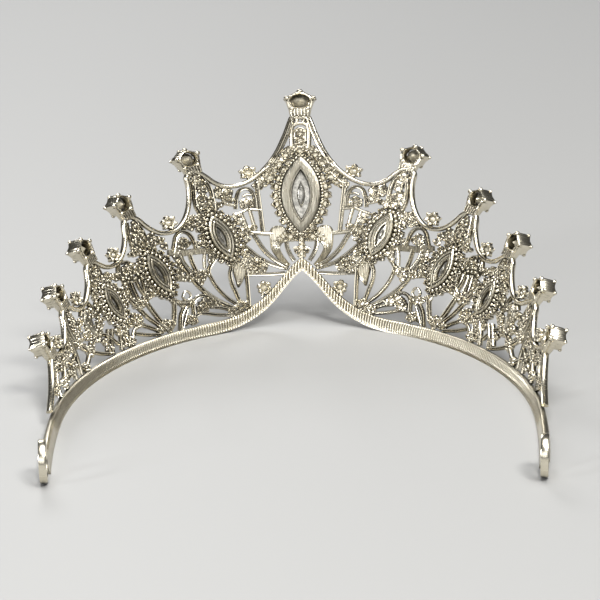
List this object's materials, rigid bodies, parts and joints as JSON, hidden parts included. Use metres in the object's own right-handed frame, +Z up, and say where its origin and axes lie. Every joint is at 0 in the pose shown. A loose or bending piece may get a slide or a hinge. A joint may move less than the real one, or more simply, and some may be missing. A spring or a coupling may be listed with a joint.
{
  "type": "bridal tiara",
  "caption": "Silver-plated openwork bridal tiara with marquise medallions, stone-tipped spires, a ribbed base band that peaks in a V and ribbon loops at its ends.",
  "frame": {"origin": "middle of the tiara's overall size, on the surface that it stands on", "axes": "+X to the wearer's left, +Y towards the back of the head, +Z up; the decorated front faces -Y"},
  "size_m": [0.1378, 0.1475, 0.0633],
  "materials": {
    "silver_plate": "bright cast plating with a slightly warm tone",
    "brushed_plate": "brushed plating, fine lines along the stone",
    "crystal": "clear cut crystal with a foiled back"
  },
  "bodies": {
    "root": {"band_star_l": "silver_plate", "band_star_r": "silver_plate", "base_band": "silver_plate", "bezel_1_l": "brushed_plate", "bezel_1_r": "brushed_plate", "bezel_2_l": "brushed_plate", "bezel_2_r": "brushed_plate", "bezel_3_l": "brushed_plate", "bezel_3_r": "brushed_plate", "bezel_centre": "brushed_plate", "crest_rail_l": "silver_plate", "crest_rail_r": "silver_plate", "navette_1_l": "crystal", "navette_1_r": "crystal", "navette_2_l": "crystal", "navette_2_r": "crystal", "navette_3_l": "crystal", "navette_3_r": "crystal", "navette_centre": "crystal", "openwork_1_l": "silver_plate", "openwork_1_r": "silver_plate", "openwork_2_l": "silver_plate", "openwork_2_r": "silver_plate", "openwork_3_l": "silver_plate", "openwork_3_r": "silver_plate", "openwork_4_l": "silver_plate", "openwork_4_r": "silver_plate", "openwork_5_l": "silver_plate", "openwork_5_r": "silver_plate", "ribbon_loop_l": "silver_plate", "ribbon_loop_r": "silver_plate", "spire_cup_1_l": "silver_plate", "spire_cup_1_r": "silver_plate", "spire_cup_2_l": "silver_plate", "spire_cup_2_r": "silver_plate", "spire_cup_3_l": "silver_plate", "spire_cup_3_r": "silver_plate", "spire_cup_4_l": "silver_plate", "spire_cup_4_r": "silver_plate", "spire_cup_5_l": "silver_plate", "spire_cup_5_r": "silver_plate", "spire_cup_centre": "silver_plate", "spire_plate_1_l": "silver_plate", "spire_plate_1_r": "silver_plate", "spire_plate_2_l": "silver_plate", "spire_plate_2_r": "silver_plate", "spire_plate_3_l": "silver_plate", "spire_plate_3_r": "silver_plate", "spire_plate_centre": "silver_plate", "spire_stone_1_l": "crystal", "spire_stone_1_r": "crystal", "spire_stone_2_l": "crystal", "spire_stone_2_r": "crystal", "spire_stone_3_l": "crystal", "spire_stone_3_r": "crystal", "spire_stone_4_l": "crystal", "spire_stone_4_r": "crystal", "spire_stone_5_l": "crystal", "spire_stone_5_r": "crystal", "spire_stone_centre": "crystal"}
  },
  "joints": []
}
